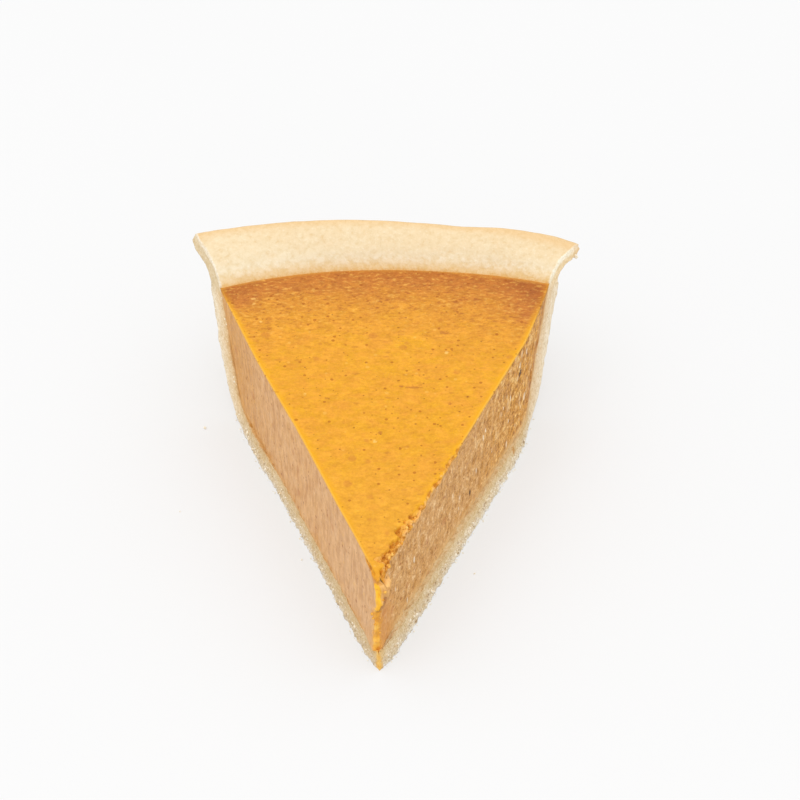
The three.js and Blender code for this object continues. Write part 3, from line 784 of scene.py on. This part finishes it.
def filling_material():
    g = Graph("baked_pumpkin", (0.8, 1.1, 1.3))
    yellow, amber = (219, 156, 27), (217, 147, 44)
    toasted, brown, deep = (203, 134, 44), (182, 109, 45), (160, 88, 36)
    line, edge_line = (230, 164, 10), (232, 178, 72)
    rust, dark = (204, 138, 58), (118, 56, 12)
    pale, glint = (234, 182, 88), (250, 234, 206)

    drop, edge, from_rim, base = g.attributes("drop", "edge", "from_rim", "base")
    side, radius, nose = g.attributes("side", "radius", "nose")
    right_side = g.step(side, 0.45, 0.55)

    cloud, patch = g.noise(20, 3, 0.55), g.noise(5, 3, 0.6)
    blotch = g.noise(2.8, 2, 0.5, g.place((0.8, 1.1, 1)))
    mottle = g.noise(1.9, 3, 0.55, g.place((0.8, 1.2, 1)))
    wrinkle = g.noise(0.9, 3, 0.6, g.place((0.66, 1.25, 1)), 0.3)
    grain, fine = g.noise(0.8, 2, 0.6), g.noise(0.4, 2, 0.6)

    # The skin on top: yellow with amber patches, toasted and brown towards the wall.
    hue = patch * 0.45 + mottle * 0.65 + cloud * 0.2 + radius * 0.0012
    skin = g.mix(g.step(hue, 0.52, 0.88), yellow, amber)
    skin = g.tint(g.fade(radius, 12.0, 50.0, 0.5), (219, 155, 50), skin)
    heat = (from_rim - patch * 9.0 - cloud * 8.0 - mottle * 6.0 - g.attribute("corner") * 9.0
            + g.step(side, 0.8, 1.0, 0.0, -4.5) + g.step(side, 0.1, 0.4, 0.0, -2.5))
    skin = g.tint(g.fade(heat, -8.0, 17.0, 0.85), toasted, skin)
    skin = g.tint(g.fade(heat, -11.5, 0.0, 0.86), brown, skin)
    skin = g.tint(g.fade(heat, -18.0, -11.0, 0.8), deep, skin)
    near_rim = g.step(from_rim, 4.0, 34.0, 1.0, 0.25)
    # Pale on the wrinkles' crests is painted highlight, and deep brown in their hollows is painted
    # shade.
    skin = g.tint(g.step(wrinkle, 0.52, 0.7) * near_rim * 0.42, pale, skin)
    skin = g.tint(g.fade(wrinkle, 0.3, 0.48) * near_rim * 0.7, deep, skin)
    skin = g.tone(skin, (mottle, near_rim * 0.16 + 0.1))
    skin = g.tone(skin, (blotch, 0.09), (grain, 0.12), (fine, 0.04))
    by_edge = g.fade(edge + mottle * 1.6, 0.8, 2.8)
    off_corner = g.step(from_rim - right_side * 5.0, 1.0, 11.0, 0.3, 1.0)
    skin = g.tint(by_edge * off_corner * g.step(radius, 8.0, 26.0, 0.3, 0.75), line, skin)
    at_edge = g.fade(edge + grain * 0.4, 0.3, 0.7, 0.7)
    skin = g.tint(at_edge * off_corner, edge_line, skin)
    by_wall = from_rim + mottle * 1.6 + wrinkle * 1.6 + g.step(side, 0.6, 1.0, 0.0, -0.2)
    skin = g.tint(g.fade(by_wall, 1.3, 2.8, 0.8), (210, 148, 66), skin)
    dashes = g.spots(1.9, 0.45, 0.3, g.place((0.55, 1.2, 1)))
    skin = g.tint(dashes * 0.35, (176, 108, 34), skin)

    # The cut sides: tan with upright streaks, rougher on the right, rusty by the pastry.
    streak = g.noise(1.3, 3, 0.55, g.place((1, 1, 0.25)), 0.4)
    pit = g.noise(1.9, 4, 0.66, g.place((1, 1, 0.8)))
    left = g.mix(g.step(streak * 0.6 + patch * 0.4, 0.36, 0.64), (210, 157, 101), (222, 174, 121))
    left = g.tint(g.step(streak, 0.52, 0.7, 0.0, 0.7), (186, 131, 72), left)
    left = g.tint(g.step(radius, 62.0, 92.0, 0.0, 0.75), (209, 150, 76), left)
    left = g.tint(g.fade(radius, 12.0, 45.0, 0.4), (214, 171, 128), left)
    left = g.tone(left, (streak, 0.24), (pit, 0.18), (fine, 0.1))
    blend = pit * 0.65 + streak * 0.12 + grain * 0.23
    near_half = g.ramp(blend, (0.37, (180, 126, 62)), (0.5, (210, 157, 93)),
                       (0.64, (232, 190, 136)))
    far_half = g.ramp(blend, (0.37, (168, 108, 34)), (0.5, (212, 150, 66)), (0.63, (240, 195, 122)))
    outer_half = g.step(radius, 40.0, 78.0)
    right = g.mix(outer_half, near_half, far_half)
    right = g.tone(right, (fine, 0.22), (grain, outer_half * 0.1 + 0.16))
    # Dark spots on the outer half: painted shade of small pits.
    pit_shade = g.spots(1.9, 0.7, 0.35, g.place((1, 1, 0.7))) * outer_half
    right = g.tint(pit_shade * 0.55, (140, 86, 24), right)
    # Pale flecks there: painted highlights.
    fleck_highlights = g.spots(1.8, 0.6, 0.22, g.place((1.1, 1.1, 0.6))) * outer_half
    right = g.tint(fleck_highlights * 0.5, (248, 216, 168), right)
    sides = g.mix(right_side, left, right)
    by_base = g.fade(base + patch * 6.0, 2.5, 6.5)
    by_pie_wall = g.fade(from_rim + patch * 5.0 - right_side * 1.5, 2.0, 5.5)
    near_pastry = g.math("MAXIMUM", by_base, by_pie_wall)
    sides = g.tint(near_pastry * g.step(mottle, 0.4, 0.65, 0.15, 0.6), rust, sides)
    blobs = g.spots(3.0, 1.0, 0.5, g.place((1, 1, 0.7))) * g.step(near_pastry, 0.0, 0.6)
    sides = g.tint(blobs * 0.6, (190, 122, 36), sides)
    # Darker brown by the wall on the right: painted shade in the narrow gap between filling and wall.
    sides = g.tint(g.fade(from_rim, 1.0, 7.0, 0.6) * right_side, (172, 108, 52), sides)
    # Paler by the base and the pie's wall, mostly on the right: partly soaked filling, partly painted
    # light that lifts the shade in the corner where the filling meets the pastry.
    from_pastry = g.math("MINIMUM", base, from_rim)
    soak_and_fill_light = g.fade(from_pastry + grain * 1.4, 0.8, 3.2, 0.85)
    soak_and_fill_light = soak_and_fill_light * (right_side * 0.8 + 0.2)
    sides = g.tint(soak_and_fill_light, (234, 198, 142), sides)
    by_nose = g.fade(radius, 2.0, 10.0) * g.step(drop, 8.0, 12.0) * right_side
    sides = g.tint(by_nose * 0.7, (214, 145, 72), sides)

    on_skin = g.fade(drop + grain * 0.5, 0.35, 0.65)
    colour = g.mix(on_skin, sides, skin)

    # The torn strip and the bits left in it, the smeared nose, its lump, and painted shadows under the
    # lump and under the skin's edge.
    bits = g.noise(1.1, 3, 0.55)
    near_tip = g.fade(radius, 14.0, 24.0)
    golden = g.ramp(bits, (0.36, (188, 118, 34)), (0.6, (236, 164, 48)))
    tan = g.ramp(bits, (0.36, (176, 106, 32)), (0.5, (214, 147, 52)), (0.66, (240, 180, 78)))
    broken = g.mix(near_tip, golden, tan)
    colour = g.tint(g.step(g.attribute("torn"), 0.3, 0.6) * 0.85, broken, colour)
    left_in = g.mix(near_tip, (248, 186, 56), (232, 170, 78))
    colour = g.tint(g.step(g.attribute("torn_bit"), 0.3, 0.7) * 0.7, left_in, colour)
    nibbled = g.fade(radius, 30.0, 44.0) * right_side * g.step(bits, 0.42, 0.6)
    nibbled = nibbled * g.fade(edge, 0.3, 0.7) * g.fade(drop, 0.8, 1.6)
    colour = g.tint(nibbled * 0.6, (236, 184, 118), colour)
    in_middle = g.step(side + bits * 0.3 - 0.15, 0.0, 0.25)
    in_middle = in_middle * g.fade(side + bits * 0.5 - 0.25, 0.62, 1.0)
    smear = g.step(nose + g.noise(1.8, 3) * 0.5 - 0.25, 0.66, 0.9)
    smear = smear * (in_middle * 0.8 + 0.2)
    smeared = g.ramp(g.noise(2.4, 2, 0.5), (0.36, (222, 150, 54)), (0.5, (243, 175, 60)),
                     (0.62, (252, 200, 96)))
    smeared = g.tint(g.fade(base, 3.0, 11.0, 0.5), (250, 186, 70), smeared)
    colour = g.tint(smear * 0.9, smeared, colour)
    lump = g.mix(g.step(side + bits * 0.5, 0.6, 0.95), (252, 188, 48), (230, 176, 106))
    lump = g.tone(lump, (g.noise(1.8, 2, 0.5), 0.22), (bits, 0.14))
    lump_side = g.step(side * 6.0 + nose, 0.8, 1.0, 0.0, 0.9)
    colour = g.tint(g.step(g.attribute("lump"), 0.25, 0.6) * lump_side, lump, colour)
    # Painted shadow under the lump.
    shadow_share = g.step(g.attribute("lump_shadow") + bits * 0.6 - 0.3, 0.2, 0.7)
    colour = g.tint(shadow_share * 0.6, (158, 94, 34), colour)
    # Ochre band on the nose just under the skin's edge: painted shadow below the skin.
    skin_shadow = nose * g.step(drop, 0.1, 0.3) * g.fade(drop, 0.5, 0.9)
    colour = g.tint(skin_shadow * 0.5, (204, 134, 46), colour)
    skin_tip = g.fade(radius + bits * 2.0 - 1.0, 2.0, 3.2) * g.fade(drop, 0.2, 0.6)
    colour = g.tint(skin_tip * 0.7, (214, 144, 30), colour)

    # Spice specks all over, soft blotches, pale dots, painted highlights, and the marks that stand out,
    # some of them painted highlights and painted shade.
    off_nose = 1.0 - g.step(nose, 0.2, 0.6)
    colour = g.tint(g.spots(1.5, 0.36, 0.26) * off_nose * 0.6, (156, 80, 10), colour)
    colour = g.tint(g.spots(0.95, 0.22, 0.14) * off_nose * 0.5, dark, colour)
    colour = g.tint(g.spots(4.0, 1.0, 0.35) * 0.35, (182, 106, 44), colour)
    colour = g.tint(g.spots(2.2, 0.42, 0.25) * 0.35, pale, colour)
    # Long pale glints on the right-hand cut: painted highlights.
    long_glints = g.spots(2.0, 0.42, 0.18, g.place((1, 1, 0.35))) * right_side
    long_glints = long_glints * g.step(drop, 0.6, 1.6)
    colour = g.tint(long_glints * 0.7, glint, colour)
    for marks, shade, share in (
            (BROWN_MARKS, (166, 96, 38), 0.6), (PALE_MARKS, (242, 198, 112), 0.6),
            (SOAKED_MARKS, (180, 120, 44), 0.7), (HIGHLIGHT_MARKS, glint, 0.9),
            (HOLE_SHADE_MARKS, (60, 34, 16), 0.9)):
        for mark in marks:
            colour = g.tint(g.mark(*mark) * share, shade, colour)

    rough_side = streak * (1.0 - right_side * 0.5) + pit * (right_side * 1.5 + 0.3)
    height = (mottle * 0.4 + wrinkle * near_rim * 0.5 + grain * 0.3 + fine * 0.2
              + rough_side * g.step(drop, 0.2, 0.8))
    roughness = g.step(mottle, 0.3, 0.7, 0.45, 0.62)
    return g.finish(colour, roughness, g.bump(height, 0.25), 0.15)


# ---- Crumbs ----

def crumb_material(name, shades, specular):
    g = Graph(name)
    texture = g.noise(0.5, 3, 0.6)
    colour = g.mix(g.step(texture, 0.4, 0.6), shades[0], shades[1])
    colour = g.tint(g.step(g.noise(1.7, 2), 0.5, 0.65) * 0.7, shades[2], colour)
    return g.finish(colour, 0.8, g.bump(g.noise(0.2, 2), 0.06), specular)


def lumpy_ball(steps=5):
    """Points and faces of a cube rounded into a ball, for crumbs."""
    corners, quads = box_lattice(steps, steps, steps)
    points = np.tan((corners / steps - 0.5) * (math.pi / 2) * 0.98)
    return points / np.linalg.norm(points, axis=1)[:, None], quads


def make_crumbs(name, places, sizes, material, seed):
    """Crumbs at the places: each its own size, turn and lumpy shape."""
    random = np.random.default_rng(seed)
    ball, quads = lumpy_ball()
    points, faces = [], []
    for number, (place, size) in enumerate(zip(places, sizes)):
        turn, _ = np.linalg.qr(random.normal(size=(3, 3)))
        shape = ball * random.uniform(0.6, 1.25, 3)
        bumps = 1 + 0.35 * noise(ball[:, 0] * 1.7 + number * 3.1, ball[:, 1] * 1.7, ball[:, 2] * 1.7)
        crumb = (shape * bumps[:, None]) @ turn.T * size + place
        crumb[:, 2] = np.maximum(crumb[:, 2], 0)
        points.append(crumb)
        faces.append(quads + len(ball) * number)
    return mesh_piece(name, np.concatenate(points), np.concatenate(faces), material)


# ---- The table, the light and the camera ----

TABLE_HALF, TABLE_GLOW = 3.0, 0.49


def make_table():
    """A white light table: part of its brightness is its own, so shadows on it stay faint."""
    corners = [(x * TABLE_HALF, y * TABLE_HALF, 0) for x, y in ((-1, -1), (1, -1), (1, 1), (-1, 1))]
    mesh = bpy.data.meshes.new("table")
    mesh.from_pydata(corners, [], [(0, 1, 2, 3)])
    g = Graph("white_table")
    g.finish(g.mix(g.noise(300, 2), (0.35, 0.35, 0.35, 1), (0.37, 0.37, 0.37, 1)), 0.9,
             g.bump(g.noise(2.0, 2), 0.01), 0.05)
    g.shader.inputs["Emission Color"].default_value = (1.0, 1.0, 1.0, 1.0)
    g.shader.inputs["Emission Strength"].default_value = TABLE_GLOW
    mesh.materials.append(g.material)
    table = add_object("table", mesh)


SKY_LEVEL, SKY_ZENITH = 0.7, 1.5
SOFTBOX_PLACE, SOFTBOX_SIZE, SOFTBOX_POWER = (-0.45, -0.45, 1.35), 1.4, 3.0


def make_light():
    """A soft studio: a sky that is brighter overhead, and one large soft lamp."""
    world = bpy.data.worlds.new("studio")
    world.use_nodes = True
    nodes, links = world.node_tree.nodes, world.node_tree.links
    direction = nodes.new("ShaderNodeTexCoord")
    split = nodes.new("ShaderNodeSeparateXYZ")
    links.new(direction.outputs["Generated"], split.inputs[0])
    climb = nodes.new("ShaderNodeMapRange")
    for key, number in (("From Min", 0.0), ("From Max", 1.0), ("To Min", SKY_LEVEL),
                        ("To Max", SKY_ZENITH)):
        climb.inputs[key].default_value = number
    links.new(split.outputs["Z"], climb.inputs["Value"])
    background = nodes["Background"]
    background.inputs["Color"].default_value = (1.0, 1.0, 1.0, 1.0)
    links.new(climb.outputs[0], background.inputs["Strength"])
    bpy.context.scene.world = world

    lamp = bpy.data.lights.new("softbox", "AREA")
    lamp.shape = "RECTANGLE"
    lamp.size = lamp.size_y = SOFTBOX_SIZE
    lamp.energy = SOFTBOX_POWER
    softbox = add_object("softbox", lamp)
    place = Vector(SOFTBOX_PLACE)
    softbox.location = place
    softbox.rotation_euler = (-place).to_track_quat("-Z", "Y").to_euler()
    bpy.context.scene.view_settings.view_transform = "Standard"


CAMERA_FROM_APEX = (4.587, -235.24, 252.97)
CAMERA_TILT = math.radians(38.0)
CAMERA_ROLL = math.radians(-0.264)
FOCAL_PIXELS, PICTURE_PIXELS, SENSOR = 1667.0, 800.0, 36.0


def make_camera():
    data = bpy.data.cameras.new("camera")
    data.sensor_width = SENSOR
    data.lens = SENSOR * FOCAL_PIXELS / PICTURE_PIXELS
    data.clip_start, data.clip_end = 0.01, 20
    camera = add_object("camera", data)
    place = (Vector(CAMERA_FROM_APEX) + Vector(APEX)) * MM
    aim = Matrix.Rotation(math.pi / 2 - CAMERA_TILT, 4, "X") @ Matrix.Rotation(CAMERA_ROLL, 4, "Z")
    camera.matrix_world = Matrix.Translation(place) @ aim
    bpy.context.scene.camera = camera


# ---- Scene ----

# How many crumbs of each kind there are, with their smallest and largest radius (mm).
CRUMBS = {"base": (360, 0.08, 0.4), "wall": (110, 0.08, 0.28), "dust": (200, 0.06, 0.2),
          "strip": (40, 0.1, 0.42), "nose": (16, 0.12, 0.45), "tip": (5, 0.1, 0.25)}
# Crumbs lying on the table beside the slice: place in the frame and radius (mm).
TABLE_CRUMBS = (((-43.8, 22.6, 0.2), 0.4), ((-46.8, -7.5, 0.15), 0.22),
                ((-18.4, -23.5, 0.15), 0.25), ((19.4, -28.1, 0.15), 0.3))
RIM_CRUMB = ((45.9, 49.2, 31.7), 0.6)
# Bits that cling to the nose: where they are sought (mm from the apex) and their radius.
NOSE_BITS = (((-1.2, 0.5, 14.4), 0.4), ((-1.2, 0.5, 13.4), 0.34), ((-1.6, 0.8, 19.2), 0.45))


def pick(random, places, kind):
    """Places for the crumbs of a kind, and a radius for each, most of them small."""
    count, smallest, largest = CRUMBS[kind]
    chosen = places[random.choice(len(places), count, replace=False)]
    return chosen, smallest + (largest - smallest) * random.random(count) ** 2.5


make_camera()
make_light()
make_table()

pastry, crumbly_places, wall_places, tip_places = make_crust(pastry_material())
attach(pastry, "root")
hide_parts("crust")

pumpkin, strip_places, nose_places = make_filling(filling_material())
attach(pumpkin, "root")
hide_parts("filling")

rng = np.random.default_rng(7)
base_places, base_sizes = pick(rng, crumbly_places, "base")
wall_places, wall_sizes = pick(rng, wall_places, "wall")
places = np.concatenate([base_places, wall_places, [np.subtract(RIM_CRUMB[0], APEX)]])
sizes = np.concatenate([base_sizes, wall_sizes, [RIM_CRUMB[1]]])
pastry_shades = ((246, 238, 220), (230, 210, 176), (206, 176, 132))
pastry_crumbs = make_crumbs("pastry_crumbs", places, sizes,
                            crumb_material("pastry_crumb", pastry_shades, 0.1), 11)
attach(pastry_crumbs, "root")

# Fine dust on the table against the base, and the few crumbs that lie further off.
dust_places, dust_sizes = pick(rng, crumbly_places, "dust")
outwards = np.sign(dust_places[:, 0] - 0.03 * dust_places[:, 1])
dust_places[:, 0] += outwards * rng.uniform(0.2, 1.1, len(dust_sizes))
dust_places[:, 2] = dust_sizes
places = np.concatenate([dust_places, [np.subtract(place, APEX) for place, size in TABLE_CRUMBS]])
sizes = np.concatenate([dust_sizes, [size for place, size in TABLE_CRUMBS]])
dust_shades = ((244, 240, 228), (236, 228, 208), (226, 214, 188))
loose_crumbs = make_crumbs("loose_crumbs", places, sizes,
                           crumb_material("pale_crumb", dust_shades, 0.1), 13)
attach(loose_crumbs, "root")

picked = (pick(rng, strip_places, "strip"), pick(rng, nose_places, "nose"),
          pick(rng, tip_places, "tip"))
places, sizes = (np.concatenate(parts) for parts in zip(*picked))
clinging = [nose_places[np.argmin(np.linalg.norm(nose_places - place, axis=1))]
            for place, size in NOSE_BITS]
places = np.concatenate([places, clinging])
sizes = np.concatenate([sizes, [size for place, size in NOSE_BITS]])
filling_shades = ((238, 178, 74), (208, 142, 58), (246, 198, 108))
filling_crumbs = make_crumbs("filling_crumbs", places, sizes,
                             crumb_material("filling_crumb", filling_shades, 0.15), 12)
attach(filling_crumbs, "root")
